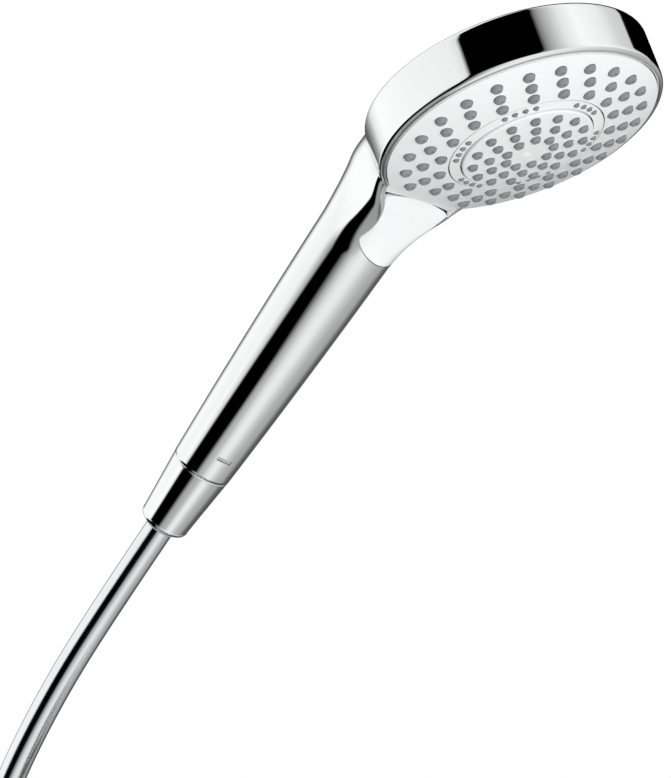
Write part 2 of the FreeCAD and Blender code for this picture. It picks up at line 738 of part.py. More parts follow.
def make_inlet_nipple():
    """Threaded stub under the handle, with a spigot into the tube."""
    body = disc(nipple_radius, -nipple_length, 0.0).fuse(disc(nipple_seat, 0.0, 7.6))
    spigot = disc(5.9, 7.0, 13.0, 0, tube_y)
    body = body.fuse(spigot)
    body = body.cut(disc(nipple_bore, -nipple_length - 1, 5))
    body = body.cut(disc(tube_bore, 0, 14, 0, tube_y))
    body = body.cut(disc(6.6, -nipple_length - 1, -nipple_length + 5.2))
    threads = [ring(nipple_radius + 1, nipple_radius - 0.7, z, z + 0.7) for z in (-11.0, -9.2, -7.4, -5.6, -3.8)]
    groove = torus(5.95, 0.6, spigot_oring_z, 0, tube_y)
    return body.cut(threads + [groove])


def make_nipple_clip():
    """Tab that locks the nipple in the handle; its end shows in a slot above the seam."""
    half = clip_width / 2 - 0.15
    tab = block(-half, half, -seam_radius + 0.4, -8.8, clip_height - 0.75, clip_height + 0.75)
    tab.rotate(V(0, 0, 0), Z_AXIS, -clip_angle)
    return tab


def make_flow_limiter():
    body = ring(6.4, 1.2, -nipple_length + 1.0, -nipple_length + 5.0)
    holes = [disc(0.7, -20, 0, *polar(3.8, 60 * k)) for k in range(6)]
    groove = ring(7.0, 5.5, -nipple_length + 2.4, -nipple_length + 3.8)
    return body.cut(holes + [groove])


def make_limiter_oring():
    return torus(6.0, 0.45, -nipple_length + 3.1)


def make_strainer_washer():
    """Rubber washer with a sieve across its middle."""
    washer = ring(flange_radius, 5.6, flange_top, -nipple_length)
    low, high = flange_top + 0.9, flange_top + 1.5
    bars = [block(-5.8, 5.8, y - 0.3, y + 0.3, low, high) for y in (-4, -2, 0, 2, 4)]
    bars += [block(x - 0.3, x + 0.3, -5.8, 5.8, low, high) for x in (-4, -2, 0, 2, 4)]
    sieve = bars[0].fuse(bars[1:]).common(disc(6.0, -60, 0))
    return washer.fuse(sieve)


# ---- hose and its fittings ----
def make_hose_ferrule():
    """Crimped sleeve on the hose's end, with the flange that the conical nut pulls up."""
    body = disc(flange_radius, flange_foot, flange_top)
    body = body.fuse(disc(ferrule_radius, flange_foot - 10, flange_foot))
    return body.cut([disc(4.2, -60, 0), disc(hose_radius, -60, flange_foot - 1.0)])


def make_cone_nut():
    """Conical nut that the wall holder grips."""
    round_end = 2.4
    end_slope = (nut_top_radius - nut_end_radius) / nut_length
    shoulder = nut_end_radius + end_slope * round_end
    thread, neck, seat = nipple_radius + running_gap, ferrule_radius + 0.4, flange_foot - 0.2
    profile = [
        Part.LineSegment(V(8.2, 0, nut_foot), V(nut_end_radius - round_end, 0, nut_foot)),
        Part.Arc(
            V(nut_end_radius - round_end, 0, nut_foot),
            V(shoulder - 0.3 * round_end, 0, nut_foot + 0.29 * round_end),
            V(shoulder, 0, nut_foot + round_end),
        ),
        Part.LineSegment(V(shoulder, 0, nut_foot + round_end), V(nut_top_radius, 0, nut_top - 0.4)),
        Part.LineSegment(V(nut_top_radius, 0, nut_top - 0.4), V(nut_top_radius - 0.4, 0, nut_top)),
        Part.LineSegment(V(nut_top_radius - 0.4, 0, nut_top), V(thread, 0, nut_top)),
        Part.LineSegment(V(thread, 0, nut_top), V(thread, 0, seat)),
        Part.LineSegment(V(thread, 0, seat), V(neck, 0, seat)),
        Part.LineSegment(V(neck, 0, seat), V(neck, 0, nut_foot + 3.0)),
        Part.LineSegment(V(neck, 0, nut_foot + 3.0), V(8.2, 0, nut_foot + 3.0)),
        Part.LineSegment(V(8.2, 0, nut_foot + 3.0), V(8.2, 0, nut_foot)),
    ]
    wire = Part.Wire([piece.toShape() for piece in profile])
    return Part.Face(wire).revolve(V(0, 0, 0), Z_AXIS, 360)


def make_hose_bush():
    """Plastic ring in the nut's mouth that guides the hose."""
    bush = ring(8.2, hose_radius + 0.35, nut_foot, nut_foot + 2.9)
    return bush.fuse(ring(bush_radius, hose_radius + 0.35, nut_foot - bush_lip, nut_foot))


# Route of the hose, in the part's own frame: it leaves along the handle and bends down under its weight.
hose_route = [
    V(0, 1.0, -1.05),
    V(0, 38.8, -40.9),
    V(0, 72.8, -80.0),
    V(0, 100.8, -121.2),
    V(0, 118.4, -163.6),
    V(0, 124.0, -206.0),
]


def fillet_path(points):
    """Straight runs joined by arcs, each as large as its two runs allow."""
    edges, radii = [], []
    here = points[0]
    for before, corner, after in zip(points, points[1:], points[2:]):
        arrive, leave = corner.sub(before), after.sub(corner)
        turn = arrive.getAngle(leave)
        leg = 0.45 * min(arrive.Length, leave.Length)
        radius = leg / math.tan(turn / 2)
        start = corner - arrive.normalize() * leg
        end = corner + leave.normalize() * leg
        bisector = (start + end) * 0.5 - corner
        depth = radius / math.cos(turn / 2) - radius
        middle = corner + bisector.normalize() * depth
        edges += [Part.LineSegment(here, start).toShape(), Part.Arc(start, middle, end).toShape()]
        radii.append(round(radius))
        here = end
    edges.append(Part.LineSegment(here, points[-1]).toShape())
    return Part.Wire(edges), radii


def make_hose():
    path, radii = fillet_path(hose_route)
    start, direction = hose_route[0], hose_route[1].sub(hose_route[0])
    profile = Part.Wire(Part.makeCircle(hose_radius, start, direction))
    tube = path.makePipeShell([profile], True, True)
    print("hose arc radii", radii, "length", round(path.Length, 1))
    print("tube volume", round(tube.Volume), "section times length", round(math.pi * hose_radius ** 2 * path.Length))
    return tube


coil_entry = hose_route[-1]
coil_axis = V(0, coil_entry.y - coil_radius, coil_entry.z)
coil_low, coil_high = -hose_radius, 2 * hose_radius * coil_turns + hose_radius
end_x = 2 * hose_radius * coil_turns


def make_hose_coil():
    """Outer shape of the tied coil: its turns lie side by side."""
    width = coil_high - coil_low
    start = V(coil_low, coil_axis.y, coil_axis.z)
    outer = Part.makeCylinder(coil_radius + hose_radius, width, start, X_AXIS)
    return outer.cut(Part.makeCylinder(coil_radius - hose_radius, width, start, X_AXIS))


def make_hose_end():
    return Part.makeCylinder(hose_radius, far_stretch + 10, V(end_x, coil_entry.y, coil_entry.z), V(0, 0, -1))


def make_hose_tie():
    y, z, slack = coil_entry.y, coil_entry.z, 0.3
    x0, x1 = coil_low - slack, coil_high + slack
    y0, y1 = y - hose_radius - 5 * slack, y + hose_radius + slack
    inner = block(x0, x1, y0, y1, z - 20, z + 20)
    outer = block(
        x0 - tie_wall, x1 + tie_wall, y0 - tie_wall, y1 + tie_wall, z - tie_height / 2, z + tie_height / 2,
    )
    return outer.cut(inner)


def far_end(shape):
    """A piece drawn about Z with the hose coming in from above, put at the hose's far end."""
    placed = shape.copy()
    placed.translate(V(end_x, coil_entry.y, coil_entry.z - far_stretch))
    return placed


def make_supply_ferrule():
    body = disc(ferrule_radius, supply_flange_top, 0).fuse(disc(8.9, supply_washer_top, supply_flange_top))
    return far_end(body.cut([disc(4.2, -20, 1), disc(hose_radius, supply_flange_top, 1)]))


def make_supply_nut():
    """Six-sided nut on the hose's far end, for the wall elbow."""
    foot = supply_washer_foot - 0.2 - supply_thread_length
    head = foot + supply_length
    across = supply_radius / math.cos(math.pi / 6)
    corners = [V(*polar(across, 60 * k), foot) for k in range(6)]
    hexagon = Part.Face(Part.makePolygon(corners + corners[:1])).extrude(V(0, 0, supply_length))
    rounded = revolve([
        (0, foot), (supply_radius - 0.6, foot), (across, foot + 1.6), (across, head - 4.0),
        (supply_radius - 1.4, head), (0, head),
    ])
    nut = hexagon.common(rounded)
    nut = nut.cut(disc(supply_thread_radius, foot - 1, supply_washer_foot))
    nut = nut.cut(disc(supply_thread_radius + 0.4, foot + supply_thread_length, supply_flange_top + 0.2))
    return far_end(nut.cut(disc(ferrule_radius + 0.35, foot, 0)))


def make_supply_washer():
    return far_end(ring(8.9, 5.0, supply_washer_foot, supply_washer_top))


# ---- build and export ----
in_face = {
    "face_plate": make_face_plate,
    "spray_ring": make_spray_ring,
    "center_cap": make_center_cap,
    "outer_nozzle_mat": make_outer_mat,
    "ring_nozzle_mat": make_ring_mat,
    "center_nozzle_mat": make_center_mat,
    "face_seal": make_face_seal,
    "distributor": make_distributor,
    "distributor_cover": make_distributor_cover,
    "port_seals": make_port_seals,
    "cover_screws": make_cover_screws,
    "valve_housing": make_valve_housing,
    "spindle_seal": make_spindle_seal,
    "selector_spindle": make_selector_spindle,
    "selector_disc": make_selector_disc,
    "drive_ring": make_drive_ring,
    "pusher_rack": make_pusher_rack,
    "return_spring": make_return_spring,
}
in_handle = {
    "handle_shell": make_handle_shell,
    "select_button": make_select_button,
    "button_pin": make_button_pin,
    "rocker_lever": make_rocker_lever,
    "rocker_pin": make_rocker_pin,
    "mechanism_frame": make_mechanism_frame,
    "water_tube": make_water_tube,
    "waterway_orings": make_waterway_orings,
    "inlet_nipple": make_inlet_nipple,
    "nipple_clip": make_nipple_clip,
    "flow_limiter": make_flow_limiter,
    "limiter_oring": make_limiter_oring,
    "strainer_washer": make_strainer_washer,
    "hose_ferrule": make_hose_ferrule,
    "cone_nut": make_cone_nut,
    "hose_bush": make_hose_bush,
}
in_part = {
    "hose": make_hose,
    "hose_coil": make_hose_coil,
    "hose_end": make_hose_end,
    "hose_tie": make_hose_tie,
    "supply_ferrule": make_supply_ferrule,
    "supply_nut": make_supply_nut,
    "supply_washer": make_supply_washer,
}

os.makedirs("parts", exist_ok=True)
solids = {}
for name, make in in_face.items():
    solids[name] = from_handle(from_face(make()))
for name, make in in_handle.items():
    solids[name] = from_handle(make())
for name, make in in_part.items():
    solids[name] = make()
for name, shape in solids.items():
    shape.exportStep(f"parts/{name}.step")
    print(name, "solids", len(shape.Solids), "valid", shape.isValid(), "volume", round(shape.Volume))
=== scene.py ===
import math

import bmesh
import bpy
from mathutils import Matrix, Vector
from mathutils.bvhtree import BVHTree
from mathutils.interpolate import poly_3d_calc


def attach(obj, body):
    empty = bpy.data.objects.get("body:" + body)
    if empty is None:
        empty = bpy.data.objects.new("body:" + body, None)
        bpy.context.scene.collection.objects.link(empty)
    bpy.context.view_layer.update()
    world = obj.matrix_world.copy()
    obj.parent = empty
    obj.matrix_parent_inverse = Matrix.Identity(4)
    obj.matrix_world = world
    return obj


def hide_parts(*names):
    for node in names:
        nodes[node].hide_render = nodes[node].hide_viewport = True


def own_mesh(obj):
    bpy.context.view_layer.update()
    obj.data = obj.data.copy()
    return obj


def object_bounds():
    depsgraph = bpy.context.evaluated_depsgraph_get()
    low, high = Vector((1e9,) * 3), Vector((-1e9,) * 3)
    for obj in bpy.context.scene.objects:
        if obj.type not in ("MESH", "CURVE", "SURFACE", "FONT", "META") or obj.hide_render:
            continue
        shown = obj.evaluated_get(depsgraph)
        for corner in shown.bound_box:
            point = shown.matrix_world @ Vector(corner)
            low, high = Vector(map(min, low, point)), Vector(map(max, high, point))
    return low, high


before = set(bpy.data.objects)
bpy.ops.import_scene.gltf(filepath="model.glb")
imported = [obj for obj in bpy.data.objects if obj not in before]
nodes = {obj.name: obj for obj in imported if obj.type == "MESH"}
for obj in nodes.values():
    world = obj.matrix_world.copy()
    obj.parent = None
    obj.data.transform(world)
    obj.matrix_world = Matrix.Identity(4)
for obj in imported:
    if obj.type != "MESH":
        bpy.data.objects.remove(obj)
cad_low, cad_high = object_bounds()

# ---- Camera ----
# A long lens a little below the spray head, looking up at it from the left front,
# as a standing person sees a hand shower that leans out of its wall holder.
camera_azimuth, camera_rise = math.radians(-52.06), math.radians(8.61)
camera = bpy.data.objects.new("camera", bpy.data.cameras.new("camera"))
bpy.context.scene.collection.objects.link(camera)
camera.location = (-0.6763, -0.6066, -0.0936)
camera.rotation_euler = (math.pi / 2 + camera_rise, 0, camera_azimuth)
camera.data.lens = 103.15
camera.data.sensor_width = 36.0
bpy.context.scene.camera = camera

# ---- Shower hose ----
# 1.6 m of smooth hose, 12 mm across: a reinforced tube in a silvered plastic skin, swaged into its
# fittings. It bends down under its own weight, and its spare length is tied in three turns.
hose_width, hose_length = 0.012, 1.6
hose_route = [
    (0.0, 0.0010, -0.00105),
    (0.0, 0.0388, -0.0409),
    (0.0, 0.0728, -0.0800),
    (0.0, 0.1008, -0.1212),
    (0.0, 0.1184, -0.1636),
    (0.0, 0.1240, -0.2060),
]
turn_points, coil_turns = 16, 3
coil_y, coil_z, coil_reach = 0.0556, -0.2060, 0.0692
for step in range(1, coil_turns * turn_points + 1):
    angle = math.tau * step / turn_points
    across = hose_width * step / turn_points
    hose_route.append((across, coil_y + coil_reach * math.cos(angle), coil_z - coil_reach * math.sin(angle)))
coil_end_x = coil_turns * hose_width
hose_route += [(coil_end_x, 0.1240, -0.2300), (coil_end_x, 0.1240, -0.2720)]

hose_line = bpy.data.curves.new("shower_hose", "CURVE")
hose_line.dimensions = "3D"
hose_spline = hose_line.splines.new("NURBS")
hose_spline.points.add(len(hose_route) - 1)
for point, place in zip(hose_spline.points, hose_route):
    point.co = (*place, 1.0)
hose_spline.order_u = 3
hose_spline.use_endpoint_u = True
hose_line.resolution_u = 10
hose_line.bevel_depth = hose_width / 2
hose_line.bevel_resolution = 10
hose_line.use_fill_caps = True
shower_hose = bpy.data.objects.new("shower_hose", hose_line)
bpy.context.scene.collection.objects.link(shower_hose)


def make_finish(name, colour, roughness, metallic=0.0, shade=0.04, patch=40.0, wear=0.06, bump=0.0, grain=900.0):
    """Procedural finish: a slow change of shade and gloss, and a fine grain in the surface."""
    finish = bpy.data.materials.new(name)
    finish.use_nodes = True
    tree = finish.node_tree
    shader = tree.nodes["Principled BSDF"]
    shader.inputs["Metallic"].default_value = metallic
    place = tree.nodes.new("ShaderNodeTexCoord")
    cloud = tree.nodes.new("ShaderNodeTexNoise")
    cloud.inputs["Scale"].default_value = patch
    cloud.inputs["Detail"].default_value = 4.0
    tree.links.new(place.outputs["Object"], cloud.inputs["Vector"])
    tint = tree.nodes.new("ShaderNodeValToRGB")
    tint.color_ramp.elements[0].position, tint.color_ramp.elements[1].position = 0.3, 0.7
    tint.color_ramp.elements[0].color = (*[part * (1 - shade) for part in colour], 1)
    tint.color_ramp.elements[1].color = (*[min(1.0, part * (1 + shade)) for part in colour], 1)
    tree.links.new(cloud.outputs["Fac"], tint.inputs["Fac"])
    tree.links.new(tint.outputs["Color"], shader.inputs["Base Color"])
    gloss = tree.nodes.new("ShaderNodeMapRange")
    gloss.inputs["From Min"].default_value, gloss.inputs["From Max"].default_value = 0.3, 0.7
    gloss.inputs["To Min"].default_value = max(0.0, roughness - wear / 2)
    gloss.inputs["To Max"].default_value = roughness + wear / 2
    tree.links.new(cloud.outputs["Fac"], gloss.inputs["Value"])
    tree.links.new(gloss.outputs["Result"], shader.inputs["Roughness"])
    if bump:
        grit = tree.nodes.new("ShaderNodeTexNoise")
        grit.inputs["Scale"].default_value = grain
        tree.links.new(place.outputs["Object"], grit.inputs["Vector"])
        relief = tree.nodes.new("ShaderNodeBump")
        relief.inputs["Strength"].default_value = bump
        relief.inputs["Distance"].default_value = 0.0001
        tree.links.new(grit.outputs["Fac"], relief.inputs["Height"])
        tree.links.new(relief.outputs["Normal"], shader.inputs["Normal"])
    return finish


hose_skin = make_finish("silvered_hose_skin", (0.86, 0.87, 0.88), 0.12, metallic=1.0, shade=0.02, wear=0.04)
hose_skin.node_tree.nodes["Principled BSDF"].inputs["Coat Weight"].default_value = 0.6
hose_skin.node_tree.nodes["Principled BSDF"].inputs["Coat Roughness"].default_value = 0.05
hose_line.materials.append(hose_skin)
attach(shower_hose, "handset")
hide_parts("hose", "hose_coil", "hose_end")

# ---- Chrome shell ----
# Handle, neck and head band in one: injection-moulded plastic, electroplated with bright chrome.
# The front of the neck is open for the mode button, and the head is open for the spray face.
holder_lean, cone_middle = math.radians(43.5), 0.01565
face_tilt = math.radians(25.3)
face_centre = Vector((0.0, -0.0362, 0.1892))
handle_place = Matrix.Rotation(holder_lean, 4, "X") @ Matrix.Translation((0, 0, cone_middle))
face_place = handle_place @ Matrix.Translation(face_centre) @ Matrix.Rotation(math.pi / 2 + face_tilt, 4, "X")
shell_wall = 0.0023
seam_radius, handle_radius, neck_start = 0.0128, 0.0168, 0.112
band_radius, band_depth, back_crown = 0.0554, 0.0203, 0.005
band_bore, bevel_drop = 0.0529, 0.0005
neck_curve = 0.035


def loop_mesh(name, rings, cap=True):
    """Closed mesh through rings of points, all with the same count."""
    count = len(rings[0])
    points = [point for ring in rings for point in ring]
    faces = []
    for row in range(len(rings) - 1):
        for k in range(count):
            a, b = row * count + k, row * count + (k + 1) % count
            faces.append((a, b, b + count, a + count))
    if cap:
        faces.append(tuple(reversed(range(count))))
        faces.append(tuple(range(len(points) - count, len(points))))
    mesh = bpy.data.meshes.new(name)
    mesh.from_pydata(points, [], faces)
    made = bmesh.new()
    made.from_mesh(mesh)
    bmesh.ops.remove_doubles(made, verts=made.verts, dist=1e-7)
    bmesh.ops.delete(made, geom=[edge for edge in made.edges if edge.is_wire], context="EDGES")
    bmesh.ops.recalc_face_normals(made, faces=made.faces)
    made.to_mesh(mesh)
    made.free()
    mesh.shade_smooth()
    piece = bpy.data.objects.new(name, mesh)
    bpy.context.scene.collection.objects.link(piece)
    return piece


def turned(name, profile, place, count=192):
    """Solid of revolution about Z of a closed (radius, z) outline, put where place says."""
    rings = []
    for radius, z in profile + profile[:1]:
        rings.append([
            place @ Vector((radius * math.cos(math.tau * k / count), radius * math.sin(math.tau * k / count), z))
            for k in range(count)
        ])
    return loop_mesh(name, rings, cap=False)


def arc(centre, radius, start, end, steps):
    """Points of an arc in the (radius, z) plane, in degrees from the radius axis."""
    angles = [math.radians(start + (end - start) * k / steps) for k in range(steps + 1)]
    return [(centre[0] + radius * math.cos(a), centre[1] + radius * math.sin(a)) for a in angles]


def outline_half_width(y):
    """Half width of the front outline at height y of the face: band, concave neck, handle."""
    centre_x, reach = handle_radius + neck_curve, band_radius + neck_curve
    centre_y = -math.sqrt(reach ** 2 - centre_x ** 2)
    if y <= centre_y:
        return handle_radius
    return centre_x - math.sqrt(max(neck_curve ** 2 - (y - centre_y) ** 2, 0.0))


def handle_rows():
    """Rows of centre, share of the face's tilt, half width, front, back, front and back corner radius."""
    rows = []
    for k in range(14):
        z = 0.008 * k
        share = z / neck_start
        radius = seam_radius + (handle_radius - seam_radius) * share + 0.0016 * share * (1 - share)
        rows.append((Vector((0, 0, z)), 0.0, radius, radius, radius, radius, radius))
    r = handle_radius
    for rise, y, turn, wide, front, back, front_corner, back_corner in (
        (0.000, 0.0000, 0.00, 0.0000, 0.0000, 0.0000, 0.0168, 0.0168),
        (0.006, 0.0000, 0.05, 0.0002, -0.0003, 0.0000, 0.0152, 0.0166),
        (0.012, 0.0000, 0.15, 0.0008, -0.0007, -0.0001, 0.0126, 0.0160),
        (0.018, -0.0002, 0.30, 0.0018, -0.0011, -0.0004, 0.0096, 0.0148),
        (0.024, -0.0007, 0.48, 0.0036, -0.0016, -0.0009, 0.0070, 0.0130),
        (0.030, -0.0017, 0.70, 0.0064, -0.0023, -0.0016, 0.0050, 0.0108),
    ):
        centre = Vector((0, y, neck_start + rise))
        rows.append((centre, turn, r + wide, r + front, r + back, front_corner, back_corner))
    upwards = Vector((0, -math.sin(face_tilt), math.cos(face_tilt)))
    outwards = Vector((0, -math.cos(face_tilt), -math.sin(face_tilt)))
    for y, front, back, front_corner, back_corner in (
        (-0.048, 0.0118, 0.0130, 0.0036, 0.0078),
        (-0.040, 0.0118, 0.0112, 0.0027, 0.0052),
        (-0.032, 0.0116, 0.0094, 0.0023, 0.0036),
    ):
        centre = face_centre + upwards * y + outwards * -0.012
        rows.append((centre, 1.0, min(outline_half_width(y), 0.034), front, back, front_corner, back_corner))
    return rows


def between(rows, row, share):
    """Smooth step from one row to the next, by the rows on both sides of them."""
    before, start = rows[max(row - 1, 0)], rows[row]
    end, after = rows[row + 1], rows[min(row + 2, len(rows) - 1)]
    t, mixed = share, []
    for a, b, c, d in zip(before, start, end, after):
        slope, bend, twist = c - a, 2 * a - 5 * b + 4 * c - d, 3 * b - a - 3 * c + d
        mixed.append(0.5 * (2 * b + slope * t + bend * t * t + twist * t ** 3))
    return mixed


def neck_section(row, inset, corner_steps, side_steps):
    """Ring of points round one section: four quarter-ellipse corners joined by straight sides."""
    centre, turn, half, front, back, front_corner, back_corner = row
    half, front, back = half - inset, front - inset, back - inset
    lean = turn * face_tilt
    forward = Vector((0, -math.cos(lean), -math.sin(lean)))
    flat = []
    for quarter in range(4):
        reach, corner = (front, front_corner) if quarter < 2 else (back, back_corner)
        corner_x, corner_y = min(half, corner - inset * 0.6), min(reach, corner - inset * 0.6)
        sign_x, sign_y = (1 if quarter in (0, 3) else -1), (1 if quarter < 2 else -1)
        for k in range(corner_steps + 1):
            angle = math.pi / 2 * (quarter + k / corner_steps)
            x = sign_x * (half - corner_x) + corner_x * math.cos(angle)
            y = sign_y * (reach - corner_y) + corner_y * math.sin(angle)
            flat.append((x, y))
    ring = []
    for index, (x, y) in enumerate(flat):
        ring.append(centre + Vector((x, 0, 0)) + forward * y)
        if index % (corner_steps + 1) == corner_steps:
            next_x, next_y = flat[(index + 1) % len(flat)]
            for k in range(1, side_steps):
                part = k / side_steps
                ring.append(centre + Vector((x + (next_x - x) * part, 0, 0)) + forward * (y + (next_y - y) * part))
    return ring


def neck_solid(name, inset, first_row=0, steps=5, corner_steps=16, side_steps=6):
    """Handle and neck as one closed form, shrunk by inset."""
    rows, rings = handle_rows(), []
    for row in range(first_row, len(rows) - 1):
        for k in range(steps):
            rings.append(neck_section(between(rows, row, k / steps), inset, corner_steps, side_steps))
    rings.append(neck_section(rows[-1], inset, corner_steps, side_steps))
    rings = [[handle_place @ point for point in ring] for ring in rings]
    return loop_mesh(name, rings)


def crown(radius, lift=0.0):
    """Height of the head's crowned back at a radius, raised by lift."""
    return -band_depth - back_crown * (1 - (radius / band_radius) ** 2) + lift


def head_solid(name):
    """Band and crowned back as a full disc."""
    edge = 0.0016
    profile = [(0.0, crown(0))] + [(band_radius * k / 14, crown(band_radius * k / 14)) for k in range(1, 13)]
    profile += [(band_radius - edge - 0.0002, crown(band_radius - edge))]
    profile += arc((band_radius - edge, -band_depth + edge), edge, -80, 0, 8)
    profile += [(band_radius, -band_depth + 2 * edge), (band_radius, -0.010), (band_radius, -0.0026)]
    profile += arc((band_radius - 0.0020, -0.0020), 0.0020, 0, 84, 12)
    profile += [(0.0, 0.0)]
    return turned(name, profile, face_place)


def head_hollow(name):
    """Room inside the head, open to the front behind a bevel."""
    rim = band_radius - 0.0018
    profile = [(0.0, crown(0, shell_wall)), (0.030, crown(0.030, shell_wall)), (band_bore, -band_depth + shell_wall)]
    profile += [(band_bore, -bevel_drop), (rim, 0.0), (rim, 0.012), (0.0, 0.012)]
    return turned(name, profile, face_place)


def shape_with(piece, tool, operation):
    """Joins the tool to the piece, or cuts it out of the piece."""
    modifier = piece.modifiers.new("shape", "BOOLEAN")
    modifier.operation, modifier.object, modifier.solver = operation, tool, "EXACT"
    shaped = bpy.data.meshes.new_from_object(piece.evaluated_get(bpy.context.evaluated_depsgraph_get()))
    piece.modifiers.clear()
    piece.data = shaped
    bpy.data.objects.remove(tool)


def prism(name, outline, depth_from, depth_to, place):
    """Straight prism of a closed outline in X and Z, running along Y."""
    rings = [[place @ Vector((x, depth, z)) for x, z in outline] for depth in (depth_from, depth_to)]
    return loop_mesh(name, rings)


def button_outline(grow):
    """Front outline of the mode button: rounded foot, waisted sides, arched top."""
    foot, shoulder, top = 0.1136 - grow, 0.1215, 0.1439 + grow
    half, waist, waist_z = 0.0138 + grow, 0.0150 + grow, 0.1315
    corner, corner_z, soft = 0.0204 + 1.5 * grow, 0.1415 + 0.6 * grow, 0.0012
    right = []
    for k in range(15):
        angle = math.pi / 2 * k / 14
        right.append((half * math.sin(angle), shoulder - (shoulder - foot) * math.cos(angle)))
    for k in range(1, 13):
        t = k / 12
        side = (1 - t) * (1 - 2 * t) * half + 4 * t * (1 - t) * waist + t * (2 * t - 1) * corner
        height = (1 - t) * (1 - 2 * t) * shoulder + 4 * t * (1 - t) * waist_z + t * (2 * t - 1) * corner_z
        right.append((side, height))
    right[-1] = (corner - soft * 0.3, corner_z - soft * 0.4)
    arch = top - corner_z
    for k in range(1, 12):
        x = (corner - soft) * (1 - k / 12)
        right.append((x, top - arch * (x / corner) ** 2))
    right.append((0.0, top))
    left = [(-x, z) for x, z in reversed(right[1:-1])]
    return right + left


shell_skins = [neck_solid("neck_skin", 0.0), head_solid("head_skin")]
skin_data = []
for skin in shell_skins:
    mesh = skin.data.copy()
    tree = BVHTree.FromPolygons([v.co for v in mesh.vertices], [tuple(p.vertices) for p in mesh.polygons])
    skin_data.append((mesh, tree))


def follow_skins(piece, skins, reach=0.00004):
    """Gives the piece the smooth normals of the full forms it was cut from, so that it reflects evenly."""
    mesh, normals = piece.data, []
    for face in mesh.polygons:
        source, nearest = None, reach
        for skin_mesh, tree in skins:
            place, normal, index, distance = tree.find_nearest(face.center)
            if distance < nearest and abs(skin_mesh.polygons[index].normal.dot(face.normal)) > 0.9:
                source, nearest = (skin_mesh, tree), distance
        for corner in face.vertices:
            if source is None:
                normals.append(face.normal.copy())
                continue
            skin_mesh, tree = source
            place, normal, index, distance = tree.find_nearest(mesh.vertices[corner].co)
            corners = skin_mesh.polygons[index].vertices
            weights = poly_3d_calc([skin_mesh.vertices[c].co for c in corners], place)
            smooth = Vector((0, 0, 0))
            for c, weight in zip(corners, weights):
                smooth += skin_mesh.vertices[c].normal * weight
            if smooth.dot(face.normal) < 0:
                smooth.negate()
            normals.append(smooth.normalized())
    mesh.shade_smooth()
    mesh.normals_split_custom_set(normals)


chrome_shell, head_skin = shell_skins
chrome_shell.name = "chrome_shell"
shape_with(chrome_shell, head_skin, "UNION")
hollow = neck_solid("handle_hollow", shell_wall, first_row=2, steps=2, corner_steps=8, side_steps=2)
shape_with(hollow, head_hollow("head_hollow"), "UNION")
shape_with(chrome_shell, hollow, "DIFFERENCE")
end_bore = [(0.0, -0.002), (0.0086, -0.002), (0.0086, 0.020), (0.0, 0.020)]
shape_with(chrome_shell, turned("end_bore", end_bore, handle_place, 64), "DIFFERENCE")
button_gap = 0.0003
button_opening = prism("button_opening", button_outline(button_gap), -0.040, -0.0085, handle_place)
shape_with(chrome_shell, button_opening, "DIFFERENCE")
ear_outline = [(-0.0252, -0.044), (-0.0196, -0.0552), (0.0196, -0.0552), (0.0252, -0.044)]
ear_place = face_place @ Matrix.Rotation(-math.pi / 2, 4, "X")
shape_with(chrome_shell, prism("plate_opening", ear_outline, -0.012, 0.0032, ear_place), "DIFFERENCE")
slot_place = handle_place @ Matrix.Rotation(math.radians(-24), 4, "Z")
slot_outline = [(-0.0033, 0.0103), (0.0033, 0.0103), (0.0033, 0.0121), (-0.0033, 0.0121)]
shape_with(chrome_shell, prism("clip_slot", slot_outline, -0.0160, -0.0080, slot_place), "DIFFERENCE")
follow_skins(chrome_shell, skin_data)

bright_chrome = make_finish(
    "bright_chrome", (0.93, 0.935, 0.94), 0.035, metallic=1.0, shade=0.012, patch=60.0, wear=0.03,
)
chrome_shell.data.materials.append(bright_chrome)
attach(chrome_shell, "handset")
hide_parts("handle_shell")

# ---- Mode button ----
# White key set flush in the neck's front: glossy injection-moulded plastic, hinged near its foot on a cross pin.
# Only the key's skin is built; the rib behind its top that pushes the rocker is left out.
mode_button = neck_solid("mode_button", 0.0)
shape_with(mode_button, neck_solid("button_hollow", 0.0018, steps=3, corner_steps=10, side_steps=3), "DIFFERENCE")
shape_with(mode_button, prism("button_cutter", button_outline(0.0), -0.040, -0.0060, handle_place), "INTERSECT")
follow_skins(mode_button, skin_data[:1])
white_plastic = make_finish(
    "glossy_white_plastic", (0.86, 0.865, 0.87), 0.22, shade=0.012, patch=25.0, wear=0.05, bump=0.04,
)
white_plastic.node_tree.nodes["Principled BSDF"].inputs["Coat Weight"].default_value = 0.25
white_plastic.node_tree.nodes["Principled BSDF"].inputs["Coat Roughness"].default_value = 0.08
mode_button.data.materials.append(white_plastic)
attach(mode_button, "button")
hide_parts("select_button")

# ---- Spray face ----
# Domed white plate, ring and centre disc, moulded in glossy plastic and clipped over the nozzle mats.
# The soft grey nozzles stand through their holes, so that scale can be rubbed off.
for name in ("face_plate", "spray_ring", "center_cap"):
    nodes[name].data.materials.clear()
    nodes[name].data.materials.append(white_plastic)
nozzle_silicone = make_finish("grey_nozzle_silicone", (0.24, 0.245, 0.25), 0.42, shade=0.10, patch=90.0, bump=0.15)
nozzle_silicone.node_tree.nodes["Principled BSDF"].inputs["Subsurface Weight"].default_value = 0.25
nozzle_silicone.node_tree.nodes["Principled BSDF"].inputs["Subsurface Radius"].default_value = (0.001, 0.001, 0.001)
nozzle_silicone.node_tree.nodes["Principled BSDF"].inputs["Subsurface Scale"].default_value = 1.0
dome_radius, dome_middle = 0.2054, -0.1982
plate_wall, mat_wall = 0.0018, 0.0012


def dome(radius, depth=0.0):
    """Height of the domed face at a radius, sunk by depth."""
    return dome_middle + math.sqrt((dome_radius - depth) ** 2 - radius ** 2)


